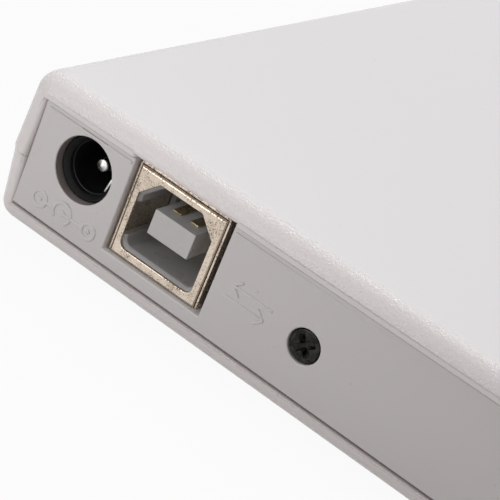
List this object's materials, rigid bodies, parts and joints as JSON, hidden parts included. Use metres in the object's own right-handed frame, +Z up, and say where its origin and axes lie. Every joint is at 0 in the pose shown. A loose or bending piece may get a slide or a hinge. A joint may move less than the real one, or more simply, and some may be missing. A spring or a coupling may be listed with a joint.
{
  "type": "external disc drive",
  "caption": "Flat light grey external disc drive with a sliding tray, a square data socket and a round power inlet.",
  "frame": {"origin": "middle of the footprint on the surface the drive stands on", "axes": "+Z up, the tray opens towards -Y and the sockets are at +Y"},
  "size_m": [0.142, 0.152, 0.0198],
  "materials": {
    "case_plastic": "fine moulded texture",
    "panel_plastic": "smooth satin",
    "bezel_plastic": "smooth satin",
    "black_steel": "black oxide",
    "foot_rubber": "matt",
    "pad_foam": "matt foam",
    "board_laminate": "satin lacquer",
    "chip_resin": "matt",
    "connector_resin": "satin",
    "bright_steel": "bright",
    "can_metal": "satin",
    "plated_steel": "speckled tin plating",
    "grey_resin": "satin",
    "gold_plate": "bright",
    "black_resin": "satin",
    "zinc_sheet": "zinc plated",
    "flex_film": "gloss film",
    "tray_plastic": "fine moulded texture",
    "dark_sheet": "black lacquer",
    "motor_metal": "satin",
    "rotor_plastic": "satin",
    "sled_alloy": "cast",
    "indicator_clear": "clear"
  },
  "bodies": {
    "case": {"upper_shell": "case_plastic", "lower_shell": "case_plastic", "rear_panel": "panel_plastic", "panel_screws": "black_steel", "rubber_feet": "foot_rubber", "cushion_pads": "pad_foam", "bridge_board": "board_laminate", "board_screws": "bright_steel", "bridge_chip": "chip_resin", "regulator": "chip_resin", "crystal": "bright_steel", "capacitors": "can_metal", "board_connector": "connector_resin", "usb_shell": "plated_steel", "usb_insulator": "grey_resin", "usb_contacts": "gold_plate", "inlet_body": "black_resin", "inlet_pin": "bright_steel", "inlet_spring": "bright_steel", "drive_chassis": "zinc_sheet", "drive_cover": "zinc_sheet", "cover_screws": "bright_steel", "drive_board": "board_laminate", "drive_chip": "chip_resin", "rear_connector": "connector_resin", "flex_cable": "flex_film", "left_guide": "black_resin", "right_guide": "black_resin"},
    "tray": {"tray": "tray_plastic", "tray_bezel": "bezel_plastic", "indicator_lens": "indicator_clear", "tray_bottom_cover": "zinc_sheet", "mechanism_cover": "dark_sheet", "tray_board": "board_laminate", "eject_switch": "chip_resin", "traverse_frame": "zinc_sheet", "dampers": "foot_rubber", "spindle_motor": "motor_metal", "guide_rods": "bright_steel", "sled_motor": "bright_steel", "latch_solenoid": "motor_metal", "eject_plunger": "connector_resin"},
    "left_rail": {"left_rail": "bright_steel"},
    "right_rail": {"right_rail": "bright_steel"},
    "eject_button": {"eject_button": "bezel_plastic"},
    "spindle": {"turntable": "rotor_plastic", "hub_jaws": "rotor_plastic"},
    "sled": {"pickup_sled": "sled_alloy"},
    "lens": {"lens_holder": "black_resin", "objective_lens": "indicator_clear"},
    "lead_screw": {"lead_screw": "bright_steel"},
    "latch_lever": {"latch_lever": "tray_plastic"}
  },
  "joints": [
    {"name": "tray_slide", "type": "slide", "parent": "case", "child": "tray", "axis": [0, -1, 0], "range_m": [0, 0.128]},
    {"name": "left_rail_slide", "type": "slide", "parent": "case", "child": "left_rail", "axis": [0, -1, 0], "range_m": [0, 0.064]},
    {"name": "right_rail_slide", "type": "slide", "parent": "case", "child": "right_rail", "axis": [0, -1, 0], "range_m": [0, 0.064]},
    {"name": "eject_press", "type": "slide", "parent": "tray", "child": "eject_button", "axis": [0, 1, 0], "range_m": [0, 0.0008], "stiffness_N_per_m": 300},
    {"name": "spindle_spin", "type": "hinge", "parent": "tray", "child": "spindle", "pos_m": [0, -0.0096, 0.013], "axis": [0, 0, 1], "continuous": true},
    {"name": "sled_slide", "type": "slide", "parent": "tray", "child": "sled", "axis": [-0.7071, -0.7071, 0], "range_m": [-0.012, 0.021]},
    {"name": "lead_screw_spin", "type": "hinge", "parent": "tray", "child": "lead_screw", "pos_m": [-0.00848, -0.04354, 0.0082], "axis": [-0.7071, -0.7071, 0], "range_deg": [-1445, 2525]},
    {"name": "lens_focus", "type": "slide", "parent": "sled", "child": "lens", "axis": [0, 0, 1], "range_m": [-0.0004, 0.0004], "stiffness_N_per_m": 120},
    {"name": "latch_swing", "type": "hinge", "parent": "tray", "child": "latch_lever", "pos_m": [-0.046, 0.014, 0.0078], "axis": [0, 0, 1], "range_deg": [-10, 0], "stiffness_Nm_per_rad": 0.01}
  ],
  "couplings": [
    {"joint": "left_rail_slide", "follows": "tray_slide", "ratio": 0.5},
    {"joint": "right_rail_slide", "follows": "tray_slide", "ratio": 0.5},
    {"joint": "lead_screw_spin", "follows": "sled_slide", "rad_per_m": 2094.4}
  ]
}
